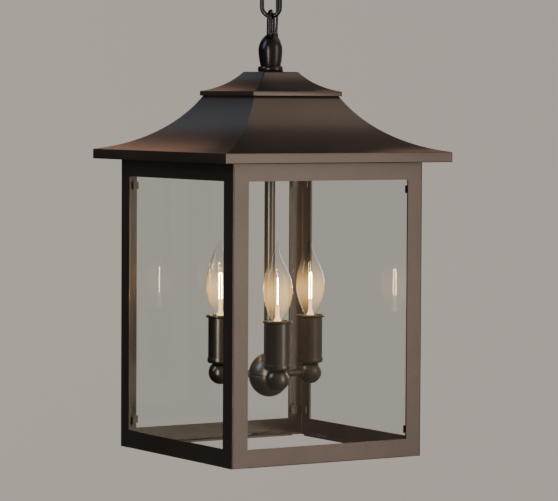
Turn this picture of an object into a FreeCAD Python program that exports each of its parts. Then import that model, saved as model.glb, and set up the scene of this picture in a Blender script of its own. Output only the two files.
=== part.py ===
import FreeCAD, Part
import math
import os

# Square hanging lantern: a four-pane body under a hollow-curved roof, three candle
# lights inside, hung by three chain links from a round ceiling canopy.
# Millimetres, +Z up. The pieces are drawn with z measured up from the lantern's foot
# and saved with the ceiling at z = 0, the axis of the stem on x = y = 0.

# ---------------------------------------------------------------- driving dimensions
# body frame
BODY_SIDE = 235.0            # outside of the square frame
FRAME_HEIGHT = 313.4         # foot of the posts to the underside of the eave
POST_LEG = 18.7              # visible width of each leg of a corner post
FRAME_WALL = 2.0             # sheet of posts and rails
POST_ROUND = 1.2             # rounding of a post's outer corner
BOTTOM_RAIL = 19.0           # height of a bottom rail
TOP_RAIL = 18.7              # height of a top rail
RAIL_FLANGE = 9.0            # how far a rail's flange reaches in from the outside
# glass
GLASS = 3.0                  # thickness of a pane
GLASS_EDGE = 11.5            # outside of the frame to a pane's side edge
GLASS_GAP = 0.3              # bedding between a pane and the legs in front of it
GLASS_TOP_LAP = 9.0          # how far a pane reaches up behind a top rail
PAD_HEIGHT = 2.5             # setting pads under a pane
PAD_LENGTH = 22.0
CLIP_WIDTH = 8.0             # height of a glass clip
CLIP_SHEET = 1.2
CLIP_REACH = 7.0             # how far a clip's ear reaches over the glass
CLIP_FOOT_GAP = 1.5          # from the corner of the post's legs to a clip's foot
CLIP_SCREW_IN = 3.4          # from the end of a clip's foot to its screw
CLIP_SCREW_RADIUS = 1.2
CLIP_SCREW_HEAD = 1.3        # height of its head
CLIP_PLAY = 0.3              # between a clip's step and the pane's edge
CLIP_INSET = 29.0            # from the frame's foot or top to the middle of a clip
# main roof
EAVE_OVERHANG = 22.5         # the square eave over the side of the body
EAVE_FASCIA = 10.8
ROOF_RISE = 58.3             # top of the fascia to the top edge of the panels
ROOF_HEAD_SIDE = 105.4       # square left at the top of the panels
ROOF_EAVE_SLOPE = 7.8        # slope of the hollow curve where it leaves the eave, degrees
ROOF_SHEET = 1.2
ROOF_LIP = 12.0              # how far the eave's lip reaches in over the frame
ROOF_SCREW_RADIUS = 1.5
ROOF_SCREW_HEAD = 1.8        # height of its head
TOP_PLATE = 1.5
# small upper roof
CAP_OVERHANG = 2.9           # the square cap over the side of the panels' head
CAP_FASCIA = 5.0
CAP_RISE = 20.8
CAP_HEAD_SIDE = 43.0
CAP_EAVE_SLOPE = 10.9        # slope of its curve where it leaves the skirt, degrees
CAP_SHEET = 1.2
CAP_DROP = 0.2               # how far the cap's skirt hangs below the panels' top edge
# stem, collar and finial loop
STEM_RADIUS = 5.9
STEM_WALL = 1.5
STEM_IN_LOOP = 7.0           # thread of the stem inside the finial loop
NUT_FLATS = 17.0
NUT_HEIGHT = 3.0
COLLAR_RADIUS = 13.9
COLLAR_HEIGHT = 6.0
EGG_FOOT_RADIUS = 10.8
EGG_RADIUS = 13.3
EGG_HEIGHT = 34.9
EGG_WIDEST = 16.9            # height of the widest place over the egg's foot
EGG_CAVITY = 7.2             # radius of the wiring room in the egg
EGG_ROOF = 5.3               # metal between the lowest link and the egg's top
EGG_FLOOR = 1.6              # metal between the tunnel and the wiring room
# chain
WIRE = 4.7                   # wire of links and rings
LINK_LENGTH = 36.0
LINK_WIDTH = 24.5
LINK_PLAY = 0.3              # between links that hang in each other
LINK_SEAM = 0.4              # open seam in one side of a link
TUNNEL_PLAY = 0.5            # round the link inside the egg
LINK_COUNT = 3
# canopy
CANOPY_RADIUS = 62.5
CANOPY_DEPTH = 25.0
CANOPY_SHEET = 1.0
CANOPY_SKIRT = 5.0
NECK_RADIUS = 12.0
NECK_HEIGHT = 10.0
NECK_BITE = 1.0              # how far the neck reaches into the ring
NIPPLE_RADIUS = 4.85
NIPPLE_BORE = 3.1
STRAP_LENGTH = 104.0
STRAP_WIDTH = 18.0
STRAP_SHEET = 2.0
STRAP_HOLES = 89.0           # between the two ceiling screws
STRAP_HOLE_RADIUS = 2.25
STRAP_NUT_FLATS = 15.0
# supply cord
CORD_RADIUS = 1.4
CORD_PLAY = 0.25             # round the cord in its bushing
BUSH_WALL = 0.4
# candle lights
LIGHTS = 3
LIGHT_CIRCLE = 57.0          # stem to the middle of a candle
LIGHT_FIRST = 6.75           # direction of the first arm, degrees from +X
LIGHT_HEIGHT = 83.0          # arms over the lantern's foot
HUB_RADIUS = 22.0
HUB_HALF_HEIGHT = 24.2
HUB_WALL = 1.5
HUB_SEAM = 1.2               # seam of the two cups, filled by the spider's edge
SPIDER_HEIGHT = 13.0
ARM_RADIUS = 3.75
ARM_BORE = 2.3
ARM_COLLAR_RADIUS = 5.2
ARM_COLLAR_LENGTH = 3.0
BALL_RADIUS = 12.6
BALL_WALL = 1.5
CUP_OVER_ARM = 9.8           # underside of a candle cup over the arm's axis
CUP_WALL = 0.7               # round the sleeve that stands in the cup
CUP_HEIGHT = 6.0
CUP_FLOOR = 1.5
SLEEVE_RADIUS = 13.1
SLEEVE_WALL = 1.2
SLEEVE_HEIGHT = 50.8
RIM_REACH = 2.7              # how far the rolled rim stands out from the sleeve
RIM_HEIGHT = 2.6
SOCKET_PLAY = 1.5            # between the socket and the inside of the sleeve
SOCKET_BELOW_RIM = 3.2
SOCKET_NIPPLE_RADIUS = 4.8
LEAD_RADIUS = 1.2
# bulbs, E12 screw base, bent-tip flame shape
BULB_ABOVE_RIM = 84.9
BULB_RADIUS = 16.0
BULB_WIDEST = 31.0           # height of the widest place over the rim
BULB_GLASS = 0.7
BULB_NECK = 6.5              # radius where the glass leaves the screw shell
BULB_TUCK = 1.5              # how far the glass reaches down into the shell
BULB_STEM_HEIGHT = 17.0      # top of the inner glass stem over the rim
BULB_STEM_RADIUS = 2.0
FILAMENT_RADIUS = 0.3
FILAMENT_HEIGHT = 27.0       # over the glass stem
FILAMENT_SPREAD = 1.5        # from the axis to each side of the loop
BASE_RADIUS = 5.9
BASE_LENGTH = 15.5
THREAD_LEAD = 2.54
CONTACT_RADIUS = 3.0
CONTACT_HEIGHT = 1.8
FIT = 0.1                    # between pieces that seat in each other
RUNNING_FIT = 0.3            # between pieces that turn in each other

# ---------------------------------------------------------------- worked-out places
half_body = BODY_SIDE / 2
half_eave = half_body + EAVE_OVERHANG
half_cap = ROOF_HEAD_SIDE / 2 + CAP_OVERHANG
roof_foot_z = FRAME_HEIGHT + EAVE_FASCIA
roof_head_z = roof_foot_z + ROOF_RISE
cap_foot_z = roof_head_z - CAP_DROP
cap_top_z = cap_foot_z + CAP_FASCIA + CAP_RISE
egg_foot_z = cap_top_z + COLLAR_HEIGHT
egg_top_z = egg_foot_z + EGG_HEIGHT
bend = (LINK_WIDTH - WIRE) / 2                   # centreline radius of a link's ends
tunnel_radius = WIRE / 2 + TUNNEL_PLAY
bush_bore = CORD_RADIUS + CORD_PLAY
bush_radius = bush_bore + BUSH_WALL
tunnel_z = egg_top_z - EGG_ROOF - WIRE / 2 + bend
link_pitch = LINK_LENGTH - 2 * WIRE - LINK_PLAY
link_foot_z = [tunnel_z - bend - WIRE / 2 + n * link_pitch for n in range(LINK_COUNT)]
ring_z = link_foot_z[-1] + link_pitch + WIRE / 2 + bend
neck_z = ring_z + bend + WIRE / 2 - NECK_BITE
canopy_z = neck_z + NECK_HEIGHT
ceiling_z = canopy_z + CANOPY_DEPTH
cup_z = LIGHT_HEIGHT + CUP_OVER_ARM
sleeve_z = cup_z + CUP_FLOOR
sleeve_bore = SLEEVE_RADIUS - SLEEVE_WALL
socket_radius = sleeve_bore - SOCKET_PLAY
cup_radius = SLEEVE_RADIUS + FIT + CUP_WALL
rim_radius = SLEEVE_RADIUS + RIM_REACH
rim_z = sleeve_z + SLEEVE_HEIGHT                 # top of a candle sleeve
socket_z = cup_z + CUP_FLOOR
base_z = rim_z - BASE_LENGTH                     # lower edge of a bulb's screw shell
contact_z = base_z - CONTACT_HEIGHT + 0.3
UP = FreeCAD.Vector(0, 0, 1)
ORIGIN = FreeCAD.Vector(0, 0, 0)


# ---------------------------------------------------------------- drawing helpers
def point(x, y, z):
    return FreeCAD.Vector(x, y, z)


def on_chain(u, v, z):
    """A point given across the chain: u lies in the first link's plane, v in the next."""
    return point((u + v) / math.sqrt(2), (u - v) / math.sqrt(2), z)


def box(x0, x1, y0, y1, z0, z1):
    return Part.makeBox(x1 - x0, y1 - y0, z1 - z0, point(x0, y0, z0))


def rod(radius, z0, z1, x=0.0, y=0.0):
    return Part.makeCylinder(radius, z1 - z0, point(x, y, z0))


def outline(steps, place):
    """A closed face. A step is a point, or a pair (through, end) that makes an arc."""
    edges = []
    here = place(*steps[0])
    for step in steps[1:] + steps[:1]:
        if isinstance(step[0], tuple):
            through, end = place(*step[0]), place(*step[1])
            edges.append(Part.Arc(here, through, end).toShape())
        else:
            end = place(*step)
            if end.isEqual(here, 1e-6):
                continue
            edges.append(Part.LineSegment(here, end).toShape())
        here = end
    return Part.Face(Part.Wire(edges))


def turned(steps):
    """A piece turned about the z axis from its outline in (radius, z)."""
    return outline(steps, lambda r, z: point(r, 0, z)).revolve(ORIGIN, UP, 360)


def drawn(steps, length):
    """An outline in (x, z) drawn out along y, half of it to each side."""
    return outline(steps, lambda x, z: point(x, -length / 2, z)).extrude(point(0, length, 0))


def plate(corners, z0, z1):
    return outline(corners, lambda x, y: point(x, y, z0)).extrude(point(0, 0, z1 - z0))


def spun(shape, degrees):
    """A copy turned about the z axis."""
    copy = shape.copy()
    copy.rotate(ORIGIN, UP, degrees)
    return copy


def quarters(shape):
    """The four copies of a piece round the square body."""
    return [spun(shape, 90 * n) for n in range(4)]


def mirrored(shape, normal):
    return shape.mirror(ORIGIN, normal)


def hexagon(flats, z0, z1):
    reach = flats / math.sqrt(3)
    corners = [(reach * math.cos(math.radians(60 * n)), reach * math.sin(math.radians(60 * n)))
               for n in range(6)]
    return plate(corners, z0, z1)


def save(name, shapes):
    """One sub-part, moved so that the ceiling is at z = 0."""
    shapes = shapes if isinstance(shapes, list) else [shapes]
    solids = [solid for shape in shapes for solid in shape.Solids]
    group = Part.makeCompound(solids) if len(solids) > 1 else solids[0]
    group = group.copy()
    group.translate(point(0, 0, -ceiling_z))
    if not group.isValid():
        print("not valid:", name)
    group.exportStep("parts/" + name + ".step")
    print(f"{name:24s} {len(solids):3d} solids {group.Volume:12.1f} mm3")


# ---------------------------------------------------------------- body frame
def corner_post():
    """An angle with equal legs, its outer corner at (-x, -y)."""
    inner = half_body - FRAME_WALL
    leg = half_body - POST_LEG
    corners = [(-half_body, -half_body), (-leg, -half_body), (-leg, -inner), (-inner, -inner),
               (-inner, -leg), (-half_body, -leg)]
    post = plate(corners, 0, FRAME_HEIGHT)
    outer = [edge for edge in post.Edges if edge.BoundBox.XMax < -half_body + 0.01
             and edge.BoundBox.YMax < -half_body + 0.01]
    return post.makeFillet(POST_ROUND, outer)


def rail(height, z0, flange_z):
    """The rail of the -Y side, between two posts, with its flange turned in."""
    reach = half_body - POST_LEG
    web = box(-reach, reach, -half_body, -half_body + FRAME_WALL, z0, z0 + height)
    flange = box(-reach, reach, -half_body + FRAME_WALL, -half_body + RAIL_FLANGE,
                 flange_z, flange_z + FRAME_WALL)
    return web.fuse(flange).removeSplitter()


def body_frame():
    clip_holes = all_sides(clip_shank)
    for number, post in enumerate(quarters(corner_post()), 1):
        save(f"corner_post_{number}", post.cut(clip_holes))
    save("bottom_rails", quarters(rail(BOTTOM_RAIL, 0, 0)))
    top_rail = rail(TOP_RAIL, FRAME_HEIGHT - TOP_RAIL, FRAME_HEIGHT - FRAME_WALL)
    save("top_rails", quarters(top_rail.cut([roof_shank(x, FIT) for x in roof_screw_x])))


# ---------------------------------------------------------------- glass
glass_face = half_body - FRAME_WALL - GLASS_GAP      # outside of a pane
glass_back = glass_face - GLASS
glass_half = half_body - GLASS_EDGE
glass_foot_z = FRAME_WALL + PAD_HEIGHT
glass_top_z = FRAME_HEIGHT - TOP_RAIL + GLASS_TOP_LAP


def glass_clip(z):
    """A strip screwed to a post's leg that steps over the edge of the pane on -Y."""
    leg = half_body - FRAME_WALL
    start = -leg + CLIP_FOOT_GAP
    step = -glass_half - CLIP_PLAY - CLIP_SHEET
    over = -glass_back + FIT
    corners = [(start, -leg), (step + CLIP_SHEET, -leg), (step + CLIP_SHEET, over),
               (step + CLIP_SHEET + CLIP_REACH, over),
               (step + CLIP_SHEET + CLIP_REACH, over + CLIP_SHEET), (step, over + CLIP_SHEET),
               (step, -leg + CLIP_SHEET), (start, -leg + CLIP_SHEET)]
    strip = plate(corners, z - CLIP_WIDTH / 2, z + CLIP_WIDTH / 2)
    return strip.cut(clip_shank(z, FIT))


def clip_shank(z, play=0.0):
    """The part of a clip's screw that goes along y through the clip and into the leg."""
    leg = half_body - FRAME_WALL
    x = -leg + CLIP_FOOT_GAP + CLIP_SCREW_IN
    into = FRAME_WALL * 0.75
    return Part.makeCylinder(CLIP_SCREW_RADIUS + play, CLIP_SHEET + into, point(x, -leg - into, z),
                             point(0, 1, 0))


def clip_screw(z):
    shank = clip_shank(z)
    seat = point(shank.BoundBox.Center.x, -half_body + FRAME_WALL + CLIP_SHEET, z)
    head = Part.makeCylinder(CLIP_SCREW_RADIUS * 1.8, CLIP_SCREW_HEAD, seat, point(0, 1, 0))
    return shank.fuse(head).removeSplitter()


def all_sides(make):
    """Eight copies at one height: both ends of each of the four sides."""
    pieces = []
    for z in (CLIP_INSET, FRAME_HEIGHT - CLIP_INSET):
        one = make(z)
        pieces += quarters(one) + quarters(mirrored(one, point(1, 0, 0)))
    return pieces


def glazing():
    pane = box(-glass_half, glass_half, -glass_face, -glass_back, glass_foot_z, glass_top_z)
    for number, side in enumerate(quarters(pane), 1):
        save(f"glass_pane_{number}", side)
    pad_x = glass_half * 0.6
    pads = []
    for x in (-pad_x, pad_x):
        pads += quarters(box(x - PAD_LENGTH / 2, x + PAD_LENGTH / 2, -glass_face - GLASS_GAP,
                             -half_body + RAIL_FLANGE - 1.0, FRAME_WALL, glass_foot_z))
    save("glass_setting_pads", pads)
    save("glass_clips", all_sides(glass_clip))
    save("glass_clip_screws", all_sides(clip_screw))


# ---------------------------------------------------------------- roofs
def hollow_curve(foot, head, slope):
    """Centre and radius of the arc that leaves the foot at a slope and meets the head."""
    across, up = foot[0] - head[0], head[1] - foot[1]
    half_turn = math.atan2(up, across) - math.radians(slope)
    radius = math.hypot(across, up) / 2 / math.sin(half_turn)
    first = math.radians(slope)
    return (foot[0] + radius * math.sin(first), foot[1] + radius * math.cos(first)), radius


def curve_z(centre, radius, r):
    """Height of the curve at distance r from the axis."""
    return centre[1] - math.sqrt(radius ** 2 - (centre[0] - r) ** 2)


def curve_r(centre, radius, z):
    """Distance of the curve from the axis at height z."""
    return centre[0] - math.sqrt(radius ** 2 - (centre[1] - z) ** 2)


def arc_to(centre, radius, start_r, end_r):
    """The step of an outline that follows the curve from one distance to another."""
    middle = (start_r + end_r) / 2
    return (middle, curve_z(centre, radius, middle)), (end_r, curve_z(centre, radius, end_r))


def roof_panel():
    """One folded sheet of the -X side: hollow slope, fascia and eave lip, mitred ends."""
    foot, head = (half_eave, roof_foot_z), (ROOF_HEAD_SIDE / 2, roof_head_z)
    centre, radius = hollow_curve(foot, head, ROOF_EAVE_SLOPE)
    inner = radius + ROOF_SHEET
    wall = half_eave - ROOF_SHEET
    lip = half_body - ROOF_LIP
    under_head = curve_r(centre, inner, roof_head_z)
    section = [(half_eave, FRAME_HEIGHT), foot,
               arc_to(centre, radius, foot[0], head[0]), (under_head, roof_head_z),
               arc_to(centre, inner, under_head, wall), (wall, FRAME_HEIGHT + ROOF_SHEET),
               (lip, FRAME_HEIGHT + ROOF_SHEET), (lip, FRAME_HEIGHT)]
    strip = drawn(section, 2 * half_eave + 2)
    reach = 2 * half_eave
    mitre = plate([(0, 0), (reach, -reach), (reach, reach)], 0, ceiling_z)
    return strip.common(mitre)


roof_screw_x = (-half_body / 2, half_body / 2)
roof_screw_y = -(half_body - (RAIL_FLANGE + FRAME_WALL) / 2)


def roof_shank(x, play=0.0):
    """The part of a screw that goes up through a top rail's flange into the eave lip."""
    under = FRAME_HEIGHT - FRAME_WALL
    return rod(ROOF_SCREW_RADIUS + play, under, FRAME_HEIGHT + ROOF_SHEET, x, roof_screw_y)


def roof_screw(x):
    under = FRAME_HEIGHT - FRAME_WALL
    head = rod(2 * ROOF_SCREW_RADIUS, under - ROOF_SCREW_HEAD, under, x, roof_screw_y)
    return roof_shank(x).fuse(head).removeSplitter()


def pagoda(foot, head, centre, radius, skirt_z):
    """A solid with square plan and hollow slopes: two drawn outlines crossed."""
    up = arc_to(centre, radius, foot[0], head[0])
    down = tuple((-r, z) for r, z in arc_to(centre, radius, head[0], foot[0]))
    section = [(foot[0], skirt_z), foot, up, (-head[0], head[1]), down, (-foot[0], skirt_z)]
    one = drawn(section, 2 * foot[0] + 2)
    return one.common(spun(one, 90))


def cap_roof():
    foot, head = (half_cap, cap_foot_z + CAP_FASCIA), (CAP_HEAD_SIDE / 2, cap_top_z)
    centre, radius = hollow_curve(foot, head, CAP_EAVE_SLOPE)
    inner = radius + CAP_SHEET
    wall, ceiling = foot[0] - CAP_SHEET, cap_top_z - CAP_SHEET
    inner_foot = (wall, curve_z(centre, inner, wall))
    inner_head = (curve_r(centre, inner, ceiling), ceiling)
    shell = pagoda(foot, head, centre, radius, cap_foot_z)
    shell = shell.cut(pagoda(inner_foot, inner_head, centre, inner, cap_foot_z - 1))
    return shell.cut(rod(STEM_RADIUS + FIT, cap_foot_z, cap_top_z + 1))


def roofs():
    save("roof_screws", [screw for x in roof_screw_x for screw in quarters(roof_screw(x))])
    panel = spun(roof_panel(), -90).cut([roof_shank(x) for x in roof_screw_x])
    for number, side in enumerate(quarters(panel), 1):
        save(f"roof_panel_{number}", side)
    half_plate = half_cap - CAP_SHEET - FIT
    top_plate = box(-half_plate, half_plate, -half_plate, half_plate,
                    roof_head_z, roof_head_z + TOP_PLATE)
    save("roof_top_plate", top_plate.cut(rod(STEM_RADIUS + FIT, 0, ceiling_z)))
    save("cap_roof", cap_roof())


# ---------------------------------------------------------------- stem and finial
def egg():
    """Egg-shaped loop with a tunnel bent round the lowest link and a room for wires."""
    widest_z = egg_foot_z + EGG_WIDEST
    shoulder = (EGG_RADIUS * 0.79, widest_z + (EGG_HEIGHT - EGG_WIDEST) * 0.585)
    crown = (EGG_RADIUS * 0.39, egg_top_z - 1.4)
    lower = (EGG_RADIUS - 0.75, egg_foot_z + EGG_WIDEST * 0.5)
    upper = (EGG_RADIUS * 0.94, widest_z + (EGG_HEIGHT - EGG_WIDEST) * 0.33)
    near_top = (EGG_RADIUS * 0.6, egg_top_z - 3.9)
    body = turned([(0, egg_foot_z), (EGG_FOOT_RADIUS, egg_foot_z),
                   (lower, (EGG_RADIUS, widest_z)), (upper, shoulder), (near_top, crown),
                   ((EGG_RADIUS * 0.2, egg_top_z - 0.3), (0, egg_top_z))])
    tunnel = Part.makeTorus(bend, tunnel_radius, point(0, 0, tunnel_z), on_chain(0, 1, 0))
    room_top = tunnel_z - bend - tunnel_radius - EGG_FLOOR
    thread_top = egg_foot_z + STEM_IN_LOOP
    room = rod(EGG_CAVITY, thread_top, room_top)
    thread = rod(STEM_RADIUS, egg_foot_z - 1, thread_top)
    entry = on_chain(*cord_entry, room_top - 1)
    hole = Part.makeCylinder(bush_radius, EGG_HEIGHT, entry)
    return spun(body, 180).cut([tunnel, room, thread, hole])


def cord_bushing():
    foot = tunnel_z - bend
    place = on_chain(*cord_entry, foot)
    tube = Part.makeCylinder(bush_radius, egg_top_z - foot, place)
    return tube.cut(Part.makeCylinder(bush_bore, EGG_HEIGHT, place - UP))


def stem_top_z():
    return egg_foot_z + STEM_IN_LOOP


def stem_foot_z():
    return LIGHT_HEIGHT + SPIDER_HEIGHT / 2 - 2.0


def stem_and_finial():
    stem = rod(STEM_RADIUS, stem_foot_z(), stem_top_z())
    save("stem_tube", stem.cut(rod(STEM_RADIUS - STEM_WALL, 0, ceiling_z)))
    nuts = []
    for foot in (cap_top_z - CAP_SHEET - NUT_HEIGHT, roof_head_z + TOP_PLATE,
                 roof_head_z - NUT_HEIGHT):
        nuts.append(hexagon(NUT_FLATS, foot, foot + NUT_HEIGHT).cut(rod(STEM_RADIUS, 0, ceiling_z)))
    save("stem_locknuts", nuts)
    side = COLLAR_RADIUS - 1.4
    collar = turned([(STEM_RADIUS, cap_top_z), (side, cap_top_z),
                     ((COLLAR_RADIUS, cap_top_z + COLLAR_HEIGHT / 2), (side, egg_foot_z)),
                     (STEM_RADIUS, egg_foot_z)])
    save("finial_collar", collar)
    save("finial_loop", egg())
    save("cord_bushing", cord_bushing())


# ---------------------------------------------------------------- chain and canopy
def chain_link(foot_z):
    """A racetrack of round wire in the x-z plane, with an open seam in one side."""
    low, high = foot_z + WIRE / 2 + bend, foot_z + LINK_LENGTH - WIRE / 2 - bend
    path = Part.Wire([
        Part.LineSegment(point(bend, 0, low), point(bend, 0, high)).toShape(),
        Part.Arc(point(bend, 0, high), point(0, 0, high + bend), point(-bend, 0, high)).toShape(),
        Part.LineSegment(point(-bend, 0, high), point(-bend, 0, low)).toShape(),
        Part.Arc(point(-bend, 0, low), point(0, 0, low - bend), point(bend, 0, low)).toShape()])
    section = Part.Wire([Part.Circle(point(bend, 0, low), UP, WIRE / 2).toShape()])
    link = path.makePipeShell([section], True, False)
    middle = (low + high) / 2
    return link.cut(box(0, 2 * bend, -WIRE, WIRE, middle - LINK_SEAM / 2, middle + LINK_SEAM / 2))


def canopy_loop():
    """Ring, neck and hollow threaded nipple in one casting, with a slanted wire hole."""
    ring = Part.makeTorus(bend, WIRE / 2, point(0, 0, ring_z), on_chain(1, 0, 0))
    neck = turned([(0, neck_z), (5.0, neck_z), ((6.5, neck_z + 2.6), (NECK_RADIUS, neck_z + 5.0)),
                   (NECK_RADIUS, canopy_z), (0, canopy_z)])
    nipple = rod(NIPPLE_RADIUS, canopy_z - 1, ceiling_z)
    bore = rod(NIPPLE_BORE, canopy_z - 3.5, ceiling_z + 1)
    start, end = cord_route[-3], cord_route[-2]
    along = end - start
    hole = Part.makeCylinder(CORD_RADIUS + 0.5, along.Length + 4, start - along.normalize() * 2,
                             end - start)
    return ring.fuse([neck, nipple]).cut([bore, hole]).removeSplitter()


def canopy_cover():
    """Spun pan, rim up against the ceiling."""
    rim, sheet = CANOPY_RADIUS, CANOPY_SHEET
    knee_z = ceiling_z - CANOPY_SKIRT
    floor_r, floor_z = CANOPY_RADIUS * 0.72, canopy_z + 4.5
    hole = NIPPLE_RADIUS + FIT
    section = [(rim, ceiling_z), (rim, knee_z),
               ((rim - 4.2, floor_z + 4.6), (floor_r, floor_z)),
               ((NECK_RADIUS + 14, canopy_z + 0.9), (NECK_RADIUS, canopy_z)), (hole, canopy_z),
               (hole, canopy_z + sheet), (NECK_RADIUS, canopy_z + sheet),
               ((NECK_RADIUS + 14, canopy_z + 0.9 + sheet), (floor_r, floor_z + sheet)),
               ((rim - 4.2 - sheet * 0.7, floor_z + 4.6 + sheet * 0.7), (rim - sheet, knee_z)),
               (rim - sheet, ceiling_z)]
    return turned(section)


def mounting_strap():
    """A flat bar on the ceiling with a threaded centre hole and two screw slots."""
    half = STRAP_WIDTH / 2
    reach = STRAP_LENGTH / 2 - half
    under = ceiling_z - STRAP_SHEET
    corners = [(-reach, -half), (reach, -half), ((reach + half, 0), (reach, half)), (-reach, half),
               ((-reach - half, 0), (-reach, -half))]
    strap = plate(corners, under, ceiling_z)
    holes = [rod(STRAP_HOLE_RADIUS, 0, ceiling_z + 1, x, 0)
             for x in (-STRAP_HOLES / 2, STRAP_HOLES / 2)]
    return strap.cut(holes + [rod(NIPPLE_RADIUS, 0, ceiling_z + 1)])


def chain_and_canopy():
    names = ("lower", "middle", "upper")
    for number, name in enumerate(names):
        turn = 45 if number % 2 == 0 else -45
        save(f"chain_link_{name}", spun(chain_link(link_foot_z[number]), turn))
    save("canopy_loop", canopy_loop())
    save("canopy_cover", canopy_cover())
    save("mounting_strap", mounting_strap())
    under = ceiling_z - STRAP_SHEET
    nut = hexagon(STRAP_NUT_FLATS, under - NUT_HEIGHT, under)
    save("strap_locknut", nut.cut(rod(NIPPLE_RADIUS, 0, ceiling_z)))


# ---------------------------------------------------------------- supply cord
# Where the cord enters the egg, across the chain, and its route from the hub up. It
# stands beside the links the whole way and is straight inside the stem and the nipple.
cord_entry = (2.5, 5.3)
wire_cap_z = LIGHT_HEIGHT - 7.0
cord_route = [on_chain(0, 0, wire_cap_z),
              on_chain(0, 0, stem_top_z() + 2),
              on_chain(*cord_entry, tunnel_z - 15.5),
              on_chain(*cord_entry, egg_top_z + 0.5),
              on_chain(4.7, 5.6, tunnel_z + 12.6),
              on_chain(5.3, 5.2, tunnel_z + 37),
              on_chain(4.7, 5.6, tunnel_z + 61),
              on_chain(5.0, 5.2, neck_z - 5.5),
              on_chain(0, 0, canopy_z - 1),
              on_chain(0, 0, ceiling_z - 4)]
cord_joins = [tunnel_z - 9.0] + [foot + LINK_LENGTH * 0.63 for foot in link_foot_z]


def swept(points, radius):
    """A tube along straight runs joined by tangent arcs as large as the runs allow."""
    edges = []
    here = points[0]
    smallest = None
    for before, corner, after in zip(points, points[1:], points[2:]):
        back, ahead = before - corner, after - corner
        turn = math.pi - back.getAngle(ahead)
        cut = 0.45 * min(back.Length, ahead.Length)
        arc_radius = cut / math.tan(turn / 2)
        smallest = min(arc_radius, smallest or arc_radius)
        start = corner + back * (cut / back.Length)
        end = corner + ahead * (cut / ahead.Length)
        bisector = (back * (1 / back.Length) + ahead * (1 / ahead.Length)).normalize()
        middle = corner + bisector * (arc_radius / math.cos(turn / 2) - arc_radius)
        edges.append(Part.LineSegment(here, start).toShape())
        edges.append(Part.Arc(start, middle, end).toShape())
        here = end
    edges.append(Part.LineSegment(here, points[-1]).toShape())
    path = Part.Wire(edges)
    section = Part.Wire([Part.Circle(points[0], points[1] - points[0], radius).toShape()])
    tube = path.makePipeShell([section], True, False)
    print(f"tube {path.Length:.1f} mm long, tightest arc {smallest:.1f} mm, volume "
          f"{tube.Volume:.1f} of {path.Length * math.pi * radius ** 2:.1f} mm3")
    return tube


def slab(z0, z1):
    return box(-50, 50, -50, 50, z0, z1)


def supply_cord():
    tube = swept(cord_route, CORD_RADIUS)
    joins = cord_joins + [ceiling_z]
    for number, (low, high) in enumerate(zip(joins, joins[1:]), 1):
        save(f"supply_cord_{number}", tube.common(slab(low, high)))
    return tube.common(slab(0, cord_joins[0]))


# ---------------------------------------------------------------- candle lights
def round_the_stem(shape):
    """A piece drawn towards +X, copied for each light."""
    return [spun(shape, LIGHT_FIRST + 360 / LIGHTS * n) for n in range(LIGHTS)]


def beside(shape):
    """A piece drawn on the z axis, moved out to where a candle stands."""
    copy = shape.copy()
    copy.translate(point(LIGHT_CIRCLE, 0, 0))
    return copy


def level_rod(radius, x0, x1):
    return Part.makeCylinder(radius, x1 - x0, point(x0, 0, LIGHT_HEIGHT), point(1, 0, 0))


def ovoid(radius, half_height):
    """A sphere stretched upright, its middle level with the arms."""
    stretch = FreeCAD.Matrix()
    stretch.A33 = half_height / radius
    stretch.A34 = LIGHT_HEIGHT
    return Part.makeSphere(radius).transformGeometry(stretch)


def hub_cups():
    """The ovoid shell, parted at the arms, with a notch for each arm."""
    shell = ovoid(HUB_RADIUS, HUB_HALF_HEIGHT)
    shell = shell.cut(ovoid(HUB_RADIUS - HUB_WALL, HUB_HALF_HEIGHT - HUB_WALL))
    shell = shell.cut(round_the_stem(level_rod(ARM_RADIUS + FIT, 0, LIGHT_CIRCLE)))
    seam = HUB_SEAM / 2
    upper = shell.common(slab(LIGHT_HEIGHT + seam, LIGHT_HEIGHT + HUB_HALF_HEIGHT + 1))
    lower = shell.common(slab(LIGHT_HEIGHT - HUB_HALF_HEIGHT - 1, LIGHT_HEIGHT - seam))
    return upper.cut(rod(STEM_RADIUS + FIT, 0, ceiling_z)), lower


def hub_spider():
    """The casting inside the hub that screws to the stem and takes the arms."""
    half = SPIDER_HEIGHT / 2
    low, high, seam = LIGHT_HEIGHT - half, LIGHT_HEIGHT + half, HUB_SEAM / 2
    room = HUB_RADIUS - 8.0
    inner_reach = (HUB_RADIUS - HUB_WALL) * math.sqrt(1 - (half / (HUB_HALF_HEIGHT - HUB_WALL)) ** 2)
    ring = inner_reach - RUNNING_FIT
    edge = HUB_RADIUS - 0.4
    spider = turned([(STEM_RADIUS, high - 2), (room, high - 2), (room, low), (ring, low),
                     (ring, LIGHT_HEIGHT - seam), (edge, LIGHT_HEIGHT - seam),
                     (edge, LIGHT_HEIGHT + seam), (ring, LIGHT_HEIGHT + seam), (ring, high),
                     (STEM_RADIUS + 3, high), (STEM_RADIUS + 3, high + 5), (STEM_RADIUS, high + 5)])
    return spider.cut(round_the_stem(level_rod(ARM_RADIUS, room - 2, HUB_RADIUS + 2)))


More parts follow.
